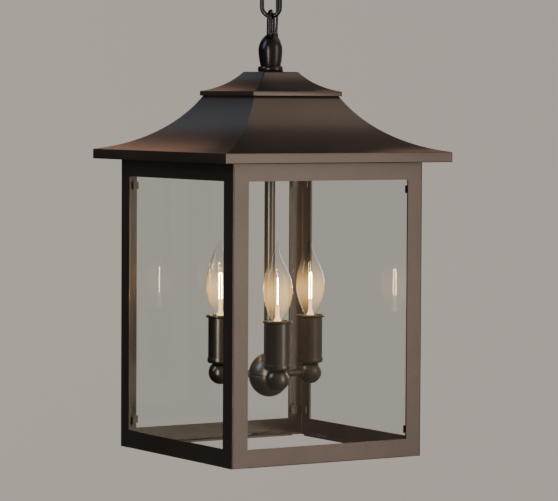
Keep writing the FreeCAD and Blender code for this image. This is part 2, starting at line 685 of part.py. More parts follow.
def lamp_arm():
    inner_end = HUB_RADIUS - 7.5
    outer_end = LIGHT_CIRCLE - BALL_RADIUS / 2
    collar_end = LIGHT_CIRCLE - math.sqrt(BALL_RADIUS ** 2 - ARM_COLLAR_RADIUS ** 2)
    arm = level_rod(ARM_RADIUS, inner_end, outer_end)
    arm = arm.fuse(level_rod(ARM_COLLAR_RADIUS, collar_end - ARM_COLLAR_LENGTH, collar_end))
    ball = Part.makeSphere(BALL_RADIUS, point(LIGHT_CIRCLE, 0, LIGHT_HEIGHT))
    outside = arm.cut(ball)
    inside = level_rod(ARM_RADIUS, collar_end - ARM_COLLAR_LENGTH, outer_end)
    return outside.fuse(inside).cut(level_rod(ARM_BORE, 0, LIGHT_CIRCLE)).removeSplitter()


def candle_ball():
    """A hollow ball with a flat top for the candle cup."""
    ball = Part.makeSphere(BALL_RADIUS, point(0, 0, LIGHT_HEIGHT))
    ball = ball.common(slab(0, cup_z))
    room = Part.makeSphere(BALL_RADIUS - BALL_WALL, point(0, 0, LIGHT_HEIGHT))
    room = room.common(slab(0, cup_z - BALL_WALL))
    arm_hole = level_rod(ARM_RADIUS, -2 * BALL_RADIUS, 0)
    return ball.cut([room, arm_hole, rod(SOCKET_NIPPLE_RADIUS, LIGHT_HEIGHT, cup_z + 1)])


def candle_cup():
    """A shallow turned cup that the sleeve stands in."""
    wall = SLEEVE_RADIUS + FIT
    top = cup_z + CUP_HEIGHT
    return turned([(SOCKET_NIPPLE_RADIUS, cup_z), (cup_radius - 2.2, cup_z),
                   ((cup_radius - 0.6, cup_z + 0.8), (cup_radius, cup_z + 2.4)),
                   (cup_radius, top), (wall, top), (wall, sleeve_z),
                   (SOCKET_NIPPLE_RADIUS, sleeve_z)])


def candle_sleeve():
    lip = socket_radius + RUNNING_FIT
    under = rim_z - RIM_HEIGHT
    round_r = RIM_HEIGHT / 2
    return turned([(sleeve_bore, sleeve_z), (SLEEVE_RADIUS, sleeve_z), (SLEEVE_RADIUS, under),
                   (rim_radius - round_r, under),
                   ((rim_radius, under + round_r), (rim_radius - round_r, rim_z)),
                   (lip, rim_z), (lip, rim_z - SLEEVE_WALL), (sleeve_bore, rim_z - SLEEVE_WALL)])


def candle_socket():
    """Insulating socket on its threaded nipple, bored for the bulb's screw base."""
    body_top = rim_z - SOCKET_BELOW_RIM
    body = turned([(0, socket_z), (socket_radius - 2, socket_z), (socket_radius, socket_z + 3),
                   (socket_radius, body_top), (0, body_top)])
    nipple = rod(SOCKET_NIPPLE_RADIUS, LIGHT_HEIGHT + ARM_RADIUS + 1, socket_z + 1)
    bulb_room = rod(BASE_RADIUS + RUNNING_FIT, contact_z - RUNNING_FIT, rim_z)
    wire_room = rod(2.6, 0, socket_z + 8)
    return body.fuse(nipple).cut([bulb_room, wire_room]).removeSplitter()


def arm_lead():
    """Insulated wire from the wire cap along an arm and up into a socket."""
    near, high = 2.9, socket_z + 7
    points = [point(near, 0, wire_cap_z), point(near, 0, LIGHT_HEIGHT),
              point(LIGHT_CIRCLE, 0, LIGHT_HEIGHT), point(LIGHT_CIRCLE, 0, high)]
    return swept(points, LEAD_RADIUS)


def bulb_outline(inset):
    """Outline of the flame-shaped envelope in (radius, z), its wall offset by inset."""
    def at(radius, height):
        return max(radius - inset, 0.2), rim_z + height
    full, wide, top = BULB_RADIUS, BULB_WIDEST, BULB_ABOVE_RIM
    neck = (BULB_NECK - inset, rim_z - BULB_TUCK + inset)
    return [(0, neck[1]), neck, at(BULB_NECK, 0),
            (at(BULB_NECK + 0.5, 1.6), at(BULB_NECK + 2.1, 4.0)), at(full * 0.89, wide * 0.58),
            (at(full, wide), at(full * 0.88, wide + (top - wide) * 0.25)),
            (at(full * 0.6, wide + (top - wide) * 0.49), at(full * 0.31, wide + (top - wide) * 0.71)),
            (at(full * 0.155, wide + (top - wide) * 0.84), at(1.5, top - 2.0)),
            (0, rim_z + top - inset)]


def bulb_glass():
    return turned(bulb_outline(0)).cut(turned(bulb_outline(BULB_GLASS)))


def bulb_shell():
    """Screw shell of the base, its rounded threads drawn as rings."""
    crest, root, wall = BASE_RADIUS, BASE_RADIUS - 0.45, 0.4
    thread_z = base_z + 1.0
    outside = [(root, thread_z)]
    for n in range(4):
        z = thread_z + THREAD_LEAD * n
        outside.append(((crest, z + THREAD_LEAD / 2), (root, z + THREAD_LEAD)))
    collar = rim_z - BULB_TUCK
    seat, lip = BULB_NECK + FIT, collar + BULB_TUCK - FIT
    outside += [(root, collar - 1.0), (seat + 0.6, collar), (seat + 0.6, lip), (seat, lip),
                (seat, collar), (root - wall, collar - 1.0 - wall)]
    inside = [(root - wall, base_z + wall), (CONTACT_RADIUS + RUNNING_FIT, base_z + wall),
              (CONTACT_RADIUS + RUNNING_FIT, base_z), (root - 0.6, base_z)]
    return turned(outside + inside)


def bulb_contact():
    shoulder, top = contact_z + 1.1, base_z + 0.8
    return turned([(0, contact_z), ((1.6, contact_z + 0.25), (2.2, shoulder)),
                   (CONTACT_RADIUS, shoulder), (CONTACT_RADIUS, top), (0, top)])


def bulb_mount():
    """Glass stem, two lead wires and the looped filament, as separate solids."""
    foot, stem_top = rim_z - BULB_TUCK + BULB_GLASS, rim_z + BULB_STEM_HEIGHT
    slim = BULB_STEM_RADIUS
    stem = turned([(0, foot), (2.3 * slim, foot), ((1.5 * slim, foot + 2.5), (slim, foot + 6.0)),
                   (slim, stem_top), (0, stem_top)])
    top = stem_top + FILAMENT_HEIGHT
    legs = [rod(FILAMENT_RADIUS, stem_top, top, x) for x in (-FILAMENT_SPREAD, FILAMENT_SPREAD)]
    arch = Part.makeTorus(FILAMENT_SPREAD, FILAMENT_RADIUS, point(0, 0, top), point(0, 1, 0))
    return [stem] + legs + [arch.common(slab(top, top + 2 * FILAMENT_SPREAD))]


def candle_lights():
    upper, lower = hub_cups()
    save("hub_upper_cup", upper)
    save("hub_lower_cup", lower)
    save("hub_spider", hub_spider())
    save("lamp_arms", round_the_stem(lamp_arm()))
    save("candle_balls", round_the_stem(beside(candle_ball())))
    save("candle_cups", round_the_stem(beside(candle_cup())))
    save("candle_sockets", round_the_stem(beside(candle_socket())))
    wire_cap = turned([(0, wire_cap_z - 13), (3.4, wire_cap_z - 13),
                       ((4.3, wire_cap_z - 7), (5.0, wire_cap_z)), (0, wire_cap_z)])
    save("lamp_wiring", [supply_cord(), wire_cap] + round_the_stem(arm_lead()))
    for number, sleeve in enumerate(round_the_stem(beside(candle_sleeve())), 1):
        save(f"candle_sleeve_{number}", sleeve)
    for name, pieces in (("glass", [bulb_glass()]), ("shell", [bulb_shell()]),
                         ("contact", [bulb_contact()]), ("filament", bulb_mount())):
        for n in range(LIGHTS):
            turn = LIGHT_FIRST + 360 / LIGHTS * n
            save(f"bulb_{name}_{n + 1}", [spun(beside(piece), turn) for piece in pieces])


os.makedirs("parts", exist_ok=True)
body_frame()
glazing()
roofs()
stem_and_finial()
chain_and_canopy()
candle_lights()
print(f"ceiling at {ceiling_z:.2f}, hinges below it at "
      + ", ".join(f"{z - ceiling_z:.2f}" for z in
                  [tunnel_z] + [foot + LINK_LENGTH - WIRE / 2 for foot in link_foot_z]))
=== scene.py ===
import bmesh
import bpy
import numpy as np
from mathutils import Matrix, Vector


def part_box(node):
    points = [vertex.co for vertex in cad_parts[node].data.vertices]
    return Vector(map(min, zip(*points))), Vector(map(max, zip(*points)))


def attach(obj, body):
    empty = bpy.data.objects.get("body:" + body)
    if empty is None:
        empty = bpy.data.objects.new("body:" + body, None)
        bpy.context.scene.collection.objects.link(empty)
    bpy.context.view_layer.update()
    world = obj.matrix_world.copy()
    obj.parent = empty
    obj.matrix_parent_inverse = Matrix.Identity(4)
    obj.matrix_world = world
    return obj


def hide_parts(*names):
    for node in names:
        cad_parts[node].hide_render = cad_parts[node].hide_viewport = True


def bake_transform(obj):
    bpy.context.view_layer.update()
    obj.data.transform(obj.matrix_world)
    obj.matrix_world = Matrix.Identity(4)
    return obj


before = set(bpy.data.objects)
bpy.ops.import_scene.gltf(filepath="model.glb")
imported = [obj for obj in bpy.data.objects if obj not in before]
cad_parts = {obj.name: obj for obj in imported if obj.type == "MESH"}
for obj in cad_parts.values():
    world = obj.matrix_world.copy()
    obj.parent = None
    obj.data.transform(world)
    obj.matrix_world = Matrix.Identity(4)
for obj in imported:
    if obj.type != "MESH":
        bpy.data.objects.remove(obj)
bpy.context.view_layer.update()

# ---------------------------------------------------------------- camera and studio
# A long lens three metres away, just above the height of the roof's edge and a little
# to the left of the near corner. The lantern's foot is where its lowest rail ends.
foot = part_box("corner_post_1")[0].z
lens_in_widths = 5.2154
heading, down, roll = np.radians([-32.15, 3.0, 0.32])
forward = Vector((-np.sin(heading) * np.cos(down), np.cos(heading) * np.cos(down), -np.sin(down)))
level = Vector((np.cos(heading), np.sin(heading), 0))
right = level * float(np.cos(roll)) + level.cross(forward) * float(np.sin(roll))
camera_data = bpy.data.cameras.new("camera")
camera_data.sensor_width = 36
camera_data.lens = 36 * lens_in_widths
camera_data.clip_end = 60
camera = bpy.data.objects.new("camera", camera_data)
turn = Matrix((right, right.cross(forward), -forward)).transposed().to_4x4()
camera.matrix_world = Matrix.Translation((-1.6544, -2.6509, foot + 0.3802)) @ turn
bpy.context.collection.objects.link(camera)
bpy.context.scene.camera = camera
axis_place = Vector((0, 0, foot + 0.2))


class Shade:
    """A value inside a material. Arithmetic on it adds Math nodes; node() adds any other."""

    def __init__(self, tree, socket=None):
        self.tree = tree
        self.socket = socket

    def node(self, kind, settings=None, sockets=None, out=0):
        made = self.tree.nodes.new(kind)
        for name, value in (settings or {}).items():
            if name == "stops":
                ramp = made.color_ramp
                ramp.elements.remove(ramp.elements[1])
                for count, (position, colour) in enumerate(value):
                    stop = ramp.elements[0] if count == 0 else ramp.elements.new(position)
                    stop.position, stop.color = position, (*colour, 1)
            else:
                setattr(made, name, value)
        for name, value in (sockets or {}).items():
            socket = made.inputs[name]
            if isinstance(value, Shade):
                self.tree.links.new(value.socket, socket)
            elif socket.type == "RGBA" and len(value) == 3:
                socket.default_value = (*value, 1)
            else:
                socket.default_value = value
        return Shade(self.tree, made.outputs[out]) if made.outputs else None

    def math(self, operation, first, second):
        return self.node("ShaderNodeMath", {"operation": operation}, {0: first, 1: second})

    def __add__(self, other):
        return self.math("ADD", self, other)

    def __sub__(self, other):
        return self.math("SUBTRACT", self, other)

    def __rsub__(self, other):
        return self.math("SUBTRACT", other, self)

    def __mul__(self, other):
        return self.math("MULTIPLY", self, other)

    def __pow__(self, other):
        return self.math("POWER", self, other)

    __radd__ = __add__
    __rmul__ = __mul__

    def clamped(self):
        return self.node("ShaderNodeClamp", sockets={"Value": self})

    def between(self, first, second):
        """A colour from first to second as this value goes from 0 to 1."""
        return self.node("ShaderNodeMix", {"data_type": "RGBA"}, {0: self, 6: first, 7: second}, out=2)


# The studio: a wide pale floor that curves up far away into a pale wall, seen by the
# camera and through glass only, so it doesn't flatten the reflections in the metal.
studio_radius, studio_wall, floor_z, wall_height = 7.0, 2.4, -2.3, 20.0
arc = np.linspace(0, np.pi / 2, 17)
ring_r = np.concatenate([[0], studio_radius + studio_wall * np.sin(arc), [studio_radius + studio_wall]])
ring_z = np.concatenate([[floor_z], floor_z + studio_wall * (1 - np.cos(arc)), [floor_z + wall_height]])
around = np.linspace(0, 2 * np.pi, 97)
grid = np.stack([np.outer(ring_r, np.cos(around)), np.outer(ring_r, np.sin(around)),
                 np.outer(ring_z, np.ones(97))], axis=-1)


def index_quads(rows, columns):
    """The corner numbers of the quads of a grid of points, row by row."""
    first = np.arange((rows - 1) * columns).reshape(rows - 1, columns)[:, :-1].ravel()
    return np.stack([first, first + 1, first + columns + 1, first + columns], axis=1)


def linked(name, mesh, smooth=True):
    """Merges a new mesh's seams and poles, turns its faces outwards and shows it."""
    work = bmesh.new()
    work.from_mesh(mesh)
    bmesh.ops.remove_doubles(work, verts=work.verts, dist=1e-6)
    bmesh.ops.dissolve_degenerate(work, edges=work.edges, dist=1e-7)
    bmesh.ops.recalc_face_normals(work, faces=work.faces)
    work.to_mesh(mesh)
    work.free()
    mesh.polygons.foreach_set("use_smooth", np.full(len(mesh.polygons), smooth))
    piece = bpy.data.objects.new(name, mesh)
    bpy.context.collection.objects.link(piece)
    return piece


def surface(name, points, smooth=True, ends=False):
    """A piece from a grid of points; ends=True closes its first and last column."""
    rows, columns = points.shape[:2]
    mesh = bpy.data.meshes.new(name)
    faces = index_quads(rows, columns).tolist()
    if ends:
        starts = np.arange(rows - 1) * columns
        faces += [starts.tolist(), (starts + columns - 1)[::-1].tolist()]
    mesh.from_pydata(points.reshape(-1, 3), [], faces)
    return linked(name, mesh, smooth)


studio = surface("studio", grid)
studio.visible_glossy = False
studio.visible_diffuse = False
pale = bpy.data.materials.new("studio_pale")
pale.use_nodes = True
pale_shader = pale.node_tree.nodes["Principled BSDF"]
pale_shader.inputs["Base Color"].default_value = (0.80, 0.765, 0.72, 1)
pale_shader.inputs["Roughness"].default_value = 0.9
pale_shader.inputs["Emission Color"].default_value = (0.86, 0.80, 0.735, 1)
pale_shader.inputs["Emission Strength"].default_value = 0.34
studio.data.materials.append(pale)
if studio.data.polygons[0].normal.z < 0:
    studio.data.flip_normals()

# Light: a dim room, brighter on the lantern's right and dark behind its left, tall soft
# boxes for its upright faces, a high one for the roof and a blue-white window high behind.
world = bpy.data.worlds.new("room")
bpy.context.scene.world = world
world.use_nodes = True
world.node_tree.nodes.clear()
room = Shade(world.node_tree)
towards = room.node("ShaderNodeTexCoord", out=0)
lobe = room.node("ShaderNodeVectorMath", {"operation": "DOT_PRODUCT"},
                 {0: towards, 1: (0.62, -0.77, 0.15)}, out=1)
side = (lobe * 0.5 + 0.5).clamped() ** 2.2
tint = side.between((0.022, 0.020, 0.020), (0.50, 0.40, 0.33))
room_light = room.node("ShaderNodeBackground", sockets={"Color": tint, "Strength": 1.0})
room.node("ShaderNodeOutputWorld", sockets={"Surface": room_light})


# What is put in here gets no light from the soft boxes, so the flat panes don't flash.
unlit = bpy.data.collections.new("unlit")


def soft_box(name, azimuth, elevation, distance, width, height, power, colour):
    """A rectangular lamp that looks at the lantern from a bearing seen from above."""
    lamp = bpy.data.lights.new(name, "AREA")
    lamp.shape, lamp.size, lamp.size_y = "RECTANGLE", width, height
    lamp.energy, lamp.color = power, colour
    holder = bpy.data.objects.new(name, lamp)
    bearing, rise = np.radians([azimuth, elevation])
    away = Vector((np.cos(bearing) * np.cos(rise), np.sin(bearing) * np.cos(rise), np.sin(rise)))
    holder.matrix_world = (Matrix.Translation(axis_place + away * distance)
                           @ away.to_track_quat("Z", "Y").to_matrix().to_4x4())
    bpy.context.collection.objects.link(holder)
    holder.light_linking.receiver_collection = unlit


soft_box("key", -63, 8, 2.6, 0.8, 2.2, 18, (1.0, 0.95, 0.90))
soft_box("roof_fill", -17, 54, 3.2, 1.8, 2.0, 9, (1.0, 0.93, 0.88))
soft_box("window", 165, 34, 2.6, 0.7, 1.5, 17, (0.60, 0.78, 1.0))
soft_box("edge", -146, 2, 3.0, 0.12, 2.0, 36, (1.0, 0.95, 0.9))
soft_box("sky", 95, 34, 3.2, 1.2, 0.7, 1.4, (0.62, 0.78, 1.0))
soft_box("warm_wall", 62, 17, 3.2, 1.8, 0.9, 4, (1.0, 0.55, 0.36))
soft_box("back", 25, 10, 3.2, 1.4, 1.4, 14, (0.95, 0.95, 1.0))

# ---------------------------------------------------------------- dark bronze paint
# Powder-coated sheet steel: a brown-black satin coat with a fine orange-peel skin, small
# lighter flecks in it and a faint drift of tone from one end of a sheet to the other.


def principled(shade, sockets):
    """The material's main shader, joined to its output."""
    main = shade.node("ShaderNodeBsdfPrincipled", sockets=sockets)
    shade.node("ShaderNodeOutputMaterial", sockets={"Surface": main})
    return main


def new_finish(name):
    finish = bpy.data.materials.new(name)
    finish.use_nodes = True
    finish.node_tree.nodes.clear()
    return finish, Shade(finish.node_tree)


def bronze(name, dark, light, rough, skin, metal=0.75, fleck=0.5):
    """Painted or lacquered bronze: tones, roughness, and depth of its orange-peel skin."""
    finish, shade = new_finish(name)
    place = shade.node("ShaderNodeTexCoord", out=3)
    drift = shade.node("ShaderNodeTexNoise", sockets={"Vector": place, "Scale": 9.0, "Detail": 3.0})
    grain = shade.node("ShaderNodeTexNoise", sockets={"Vector": place, "Scale": 1500.0, "Detail": 2.0})
    peel = shade.node("ShaderNodeTexNoise", sockets={"Vector": place, "Scale": 520.0, "Detail": 1.0})
    flecks = ((grain - 0.56) * 6.0).clamped()
    tone = (drift * 0.8 + flecks * fleck - 0.1).clamped()
    bump = shade.node("ShaderNodeBump", sockets={"Strength": skin, "Distance": 0.00012, "Height": peel})
    principled(shade, {
        "Base Color": tone.between(dark, light), "Metallic": metal,
        "Roughness": rough + drift * 0.10 - flecks * 0.06, "Normal": bump,
        "Coat Weight": 0.12, "Coat Roughness": 0.22})
    return finish


frame_paint = bronze("frame_paint", (0.066, 0.050, 0.040), (0.150, 0.120, 0.099), 0.30, 0.35)


def finished(piece, finish, body, nodes):
    """Gives a piece its material and the body it rides on, and hides the CAD nodes it replaces."""
    piece.data.materials.clear()
    piece.data.materials.append(finish)
    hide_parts(*nodes)
    if body:
        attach(piece, body)
    return piece


def kept(node, finish):
    """A CAD node whose shape is right gets only its material."""
    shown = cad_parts[node]
    shown.data.materials.clear()
    shown.data.materials.append(finish)


def softened(piece, width):
    """Grinds off the sharp edges of a cut piece."""
    bevel = piece.modifiers.new("softened", "BEVEL")
    bevel.width, bevel.segments = width, 3
    bevel.limit_method, bevel.angle_limit = "ANGLE", np.radians(35)
    bevel.harden_normals = True
    return piece


def quarter_turns(points, count):
    """Points turned about the stem's axis by count quarter turns."""
    turned = points.copy()
    cosine, sine = [(1, 0), (0, 1), (-1, 0), (0, -1)][count % 4]
    turned[..., 0] = cosine * points[..., 0] - sine * points[..., 1]
    turned[..., 1] = sine * points[..., 0] + cosine * points[..., 1]
    return turned


# ---------------------------------------------------------------- posts and rails
# Four corner posts are angles folded from 2 mm sheet, with the fold outwards. Rails
# stand between them, flush outside, each with a flange turned in. All are welded up.
crease = np.radians(28)
sheet = 0.002
half_body = (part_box("bottom_rails")[1].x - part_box("bottom_rails")[0].x) / 2
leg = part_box("corner_post_1")[1].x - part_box("corner_post_1")[0].x
frame_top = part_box("corner_post_1")[1].z
fold, inner_fold = 0.0014, 0.0006


def rounded(corners, radii, steps=5):
    """A closed outline of straight runs, each corner turned by an arc of its own radius.

    A point stands on either side of each arc, so that the flats beside it stay flat."""
    corners = np.asarray(corners, float)
    outline = []
    for count, corner in enumerate(corners):
        back = corners[count - 1] - corner
        ahead = corners[(count + 1) % len(corners)] - corner
        back, ahead = back / np.linalg.norm(back), ahead / np.linalg.norm(ahead)
        radius = radii[count]
        if radius <= 0:
            outline.append(corner[None])
            continue
        half_angle = np.arccos(np.clip(back @ ahead, -1, 1)) / 2
        reach = radius / np.tan(half_angle)
        middle = (back + ahead) / np.linalg.norm(back + ahead)
        centre = corner + middle * radius / np.sin(half_angle)
        start, end = corner + back * reach - centre, corner + ahead * reach - centre
        share = np.linspace(0, 1, steps + 1)[:, None]
        swing = np.pi - 2 * half_angle
        arc_points = (np.sin((1 - share) * swing) * start + np.sin(share * swing) * end) / np.sin(swing)
        outline += [corner[None] + back * reach * 1.3, centre + arc_points,
                    corner[None] + ahead * reach * 1.3]
    return np.concatenate(outline)


def straight(outline, lay, start, end):
    """A closed outline carried straight from start to end; lay gives each point its place."""
    loop = np.concatenate([outline, outline[:1]])
    columns = [lay(loop[:, 0], loop[:, 1], np.full(len(loop), along)) for along in (start, end)]
    return np.stack(columns, axis=1)


def several(name, grids):
    """One piece made of several like solids with closed ends."""
    mesh = bpy.data.meshes.new(name)
    points, faces, before = [], [], 0
    for part in grids:
        rows, columns = part.shape[:2]
        faces += (index_quads(rows, columns) + before).tolist()
        starts = np.arange(rows - 1) * columns + before
        faces += [starts.tolist(), (starts + columns - 1)[::-1].tolist()]
        points.append(part.reshape(-1, 3))
        before += rows * columns
    mesh.from_pydata(np.concatenate(points), [], faces)
    return linked(name, mesh)


angle_outline = rounded([(0, 0), (leg, 0), (leg, sheet), (sheet, sheet), (sheet, leg), (0, leg)],
                        [fold, 0, 0, inner_fold, 0, 0])
for number in range(4):
    post = straight(angle_outline,
                    lambda a, b, z: np.stack([a - half_body, b - half_body, z], -1), foot, frame_top)
    piece = surface(f"post_{number + 1}", quarter_turns(post, number), ends=True)
    piece.data.set_sharp_from_angle(angle=crease)
    finished(piece, frame_paint, "lantern", [f"corner_post_{number + 1}"])

flange = 0.009
for node, low, turned_up in (("bottom_rails", foot, True), ("top_rails", frame_top, False)):
    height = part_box(node)[1].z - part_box(node)[0].z
    up = 1 if turned_up else -1
    outline = rounded([(0, 0), (flange, 0), (flange, sheet), (sheet, sheet), (sheet, height),
                       (0, height)], [0.0008, 0, 0, inner_fold, 0, 0])
    rail = straight(outline,
                    lambda a, b, x: np.stack([x, a - half_body, low + up * b], -1),
                    leg - half_body, half_body - leg)
    piece = several(node + "_folded", [quarter_turns(rail, number) for number in range(4)])
    piece.data.set_sharp_from_angle(angle=crease)
    finished(piece, frame_paint, "lantern", [node])

# ---------------------------------------------------------------- roof
# Four folded sheets: a hollow slope, a straight fascia and a lip under the eave that
# rests on the frame. They meet in mitred, welded hips.
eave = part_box("roof_panel_1")[1].x
eave_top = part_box("roof_panel_1")[0].z + 0.0108  # the fascia's height
head_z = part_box("roof_panel_1")[1].z
head = 0.0527       # half the square opening at the slope's top
curve = 0.120
roof_sheet = 0.0012


def hollow(foot_point, head_point, radius, offset=0.0, steps=24):
    """Points of the circular arc that climbs from foot to head, hollow side up and out."""
    (foot_r, foot_height), (head_r, head_height) = foot_point, head_point
    across, rise = foot_r - head_r, head_height - foot_height
    chord = np.hypot(across, rise)
    depth = np.sqrt(radius ** 2 - chord ** 2 / 4)
    centre_r = (foot_r + head_r) / 2 + depth * rise / chord
    centre_z = (foot_height + head_height) / 2 + depth * across / chord
    first = np.arctan2(foot_height - centre_z, foot_r - centre_r)
    last = np.arctan2(head_height - centre_z, head_r - centre_r)
    angles = np.linspace(first, last, steps + 1) % (2 * np.pi)
    return np.stack([centre_r + (radius + offset) * np.cos(angles),
                     centre_z + (radius + offset) * np.sin(angles)], -1)


slope = hollow((eave, eave_top), (head, head_z), curve)
under = hollow((eave, eave_top), (head, head_z), curve, roof_sheet)[::-1]
under = under[(under[:, 0] < eave - roof_sheet * 2) & (under[:, 1] < head_z)]
lip = half_body - 0.012
section = np.concatenate([
    [(eave, frame_top + 0.0006), (eave, eave_top - 0.0010), (eave - 0.0003, eave_top - 0.0003)],
    slope[slope[:, 0] < eave - 0.0012],
    under,
    [(eave - roof_sheet, eave_top - roof_sheet - 0.0005), (eave - roof_sheet, frame_top + roof_sheet),
     (lip, frame_top + roof_sheet), (lip, frame_top), (eave - 0.0006, frame_top)]])
loop = np.concatenate([section, section[:1]])
share = np.linspace(-1, 1, 13)
panel = np.stack([loop[:, :1] * share, -loop[:, :1] * np.ones(13), loop[:, 1:] * np.ones(13)], -1)
for number in range(4):
    piece = surface(f"roof_sheet_{number + 1}", quarter_turns(panel, number), ends=True)
    finished(piece, frame_paint, "lantern", [f"roof_panel_{number + 1}"])
    piece.data.set_sharp_from_angle(angle=crease)

# The small upper roof is one pressed sheet of the same form over a flat square plate.
cap_low, cap_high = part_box("cap_roof")
cap_half, cap_skirt = cap_high.x, 0.005
cap_head, cap_curve = 0.0215, 0.057
stem_radius = (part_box("stem_tube")[1].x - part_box("stem_tube")[0].x) / 2


def rounded_square(half, corner, steps=6):
    """Places round a square of the given half side, its corners turned by arcs."""
    quarter = np.linspace(0, np.pi / 2, steps + 1)
    centre = half - corner
    xs, ys = [], []
    for start in range(4):
        angles = quarter + start * np.pi / 2
        sign_x, sign_y = [(1, 1), (-1, 1), (-1, -1), (1, -1)][start]
        xs.append(sign_x * centre + corner * np.cos(angles))
        ys.append(sign_y * centre + corner * np.sin(angles))
    return np.concatenate(xs), np.concatenate(ys)


def square_shell(name, profile, corner):
    """A shell with square plan: each profile point is a ring with rounded corners, or a
    circle where it is marked as turned."""
    rings = []
    for (half, z), turned in profile:
        xs, ys = rounded_square(half, min(corner if not turned else half, half))
        ring = np.stack([xs, ys, np.full(len(xs), z)], -1)
        rings.append(np.concatenate([ring, ring[:1]]))
    rings.append(rings[0])
    return surface(name, np.stack(rings))


def plain(points):
    """Profile points whose rings keep the shell's own corners."""
    return [(tuple(place), False) for place in points]


cap_top = cap_high.z
outer = hollow((cap_half, cap_low.z + cap_skirt), (cap_head, cap_top), cap_curve)
inner = hollow((cap_half, cap_low.z + cap_skirt), (cap_head, cap_top), cap_curve, roof_sheet)[::-1]
inner = inner[(inner[:, 0] < cap_half - roof_sheet * 1.5) & (inner[:, 1] < cap_top - roof_sheet)]
profile = plain([(cap_half - 0.0003, cap_low.z), (cap_half, cap_low.z + 0.0004),
                 (cap_half, cap_low.z + cap_skirt - 0.0006), (cap_half - 0.0004, cap_low.z + cap_skirt)])
profile += plain(outer[(outer[:, 0] < cap_half - 0.0012) & (outer[:, 0] > cap_head + 0.0005)])
profile += plain([(cap_head + 0.0001, cap_top - 0.0002), (cap_head - 0.0006, cap_top)])
stem_hole = stem_radius + 0.0001
profile += [((stem_hole, cap_top), True), ((stem_hole, cap_top - roof_sheet), True)]
profile += plain(inner)
profile += plain([(cap_half - roof_sheet, cap_low.z + cap_skirt - roof_sheet),
                  (cap_half - roof_sheet, cap_low.z)])
piece = square_shell("upper_roof", profile, 0.0009)
finished(piece, frame_paint, "lantern", ["cap_roof"])
piece.data.set_sharp_from_angle(angle=np.radians(35))
kept("roof_top_plate", frame_paint)

# ---------------------------------------------------------------- finial, chain, canopy
# Cast and drawn parts with the same finish, smoother and darker: a collar, an egg-shaped
# loop with a tunnel for the lowest link, wire links closed at a butt seam, and the ring
# with its threaded neck. The canopy is spun and painted like the frame.
cast_paint = bronze("cast_paint", (0.024, 0.021, 0.020), (0.060, 0.052, 0.047), 0.24, 0.08, fleck=0.1)


def lathe(name, profile, steps=96, centre=(0.0, 0.0)):
    """A profile of (radius, z) points turned about an upright axis."""
    profile = np.asarray(profile, float)
    angles = np.linspace(0, 2 * np.pi, steps + 1)
    x = centre[0] + np.outer(profile[:, 0], np.cos(angles))
    y = centre[1] + np.outer(profile[:, 0], np.sin(angles))
    z = np.outer(profile[:, 1], np.ones(steps + 1))
    return surface(name, np.stack([x, y, z], -1))


def flowing(points, count):
    """A smooth curve through a few chosen points: a Catmull-Rom spline by chord length."""
    points = np.asarray(points, float)
    padded = np.concatenate([2 * points[:1] - points[1:2], points, 2 * points[-1:] - points[-2:-1]])
    knots = np.concatenate([[0], np.cumsum(np.linalg.norm(np.diff(padded, axis=0), axis=1) ** 0.5)])
    t = np.linspace(knots[1], knots[-2], count)
    span = np.clip(np.searchsorted(knots, t, side="right") - 1, 1, len(points) - 1)
    k0, k1, k2, k3 = (knots[span + n][:, None] for n in (-1, 0, 1, 2))
    p0, p1, p2, p3 = (padded[span + n] for n in (-1, 0, 1, 2))
    t = t[:, None]
    a1 = (k1 - t) / (k1 - k0) * p0 + (t - k0) / (k1 - k0) * p1
    a2 = (k2 - t) / (k2 - k1) * p1 + (t - k1) / (k2 - k1) * p2
    a3 = (k3 - t) / (k3 - k2) * p2 + (t - k2) / (k3 - k2) * p3
    b1 = (k2 - t) / (k2 - k0) * a1 + (t - k0) / (k2 - k0) * a2
    b2 = (k3 - t) / (k3 - k1) * a2 + (t - k1) / (k3 - k1) * a3
    return (k2 - t) / (k2 - k1) * b1 + (t - k1) / (k2 - k1) * b2


def tube(name, path, radii, sides=32, closed=False):
    """A round section carried along a path; the section turns as little as it can."""
    path = np.asarray(path, float)
    if closed:
        along = np.roll(path, -1, axis=0) - np.roll(path, 1, axis=0)
    else:
        along = np.gradient(path, axis=0)
    along /= np.linalg.norm(along, axis=1)[:, None]
    across = np.cross(along[0], [0.3, 0.5, 0.8])
    frames = []
    for direction in along:
        across = across - direction * (across @ direction)
        across = across / np.linalg.norm(across)
        frames.append(across)
    across = np.array(frames)
    other = np.cross(along, across)
    angles = np.linspace(0, 2 * np.pi, sides + 1)
    radii = np.broadcast_to(radii, len(path))[:, None, None]
    ring = across[:, None] * np.cos(angles)[:, None] + other[:, None] * np.sin(angles)[:, None]
    points = path[:, None] + radii * ring
    if closed:
        return surface(name, np.concatenate([points, points[:1]]))
    return surface(name, points.transpose(1, 0, 2), ends=True)


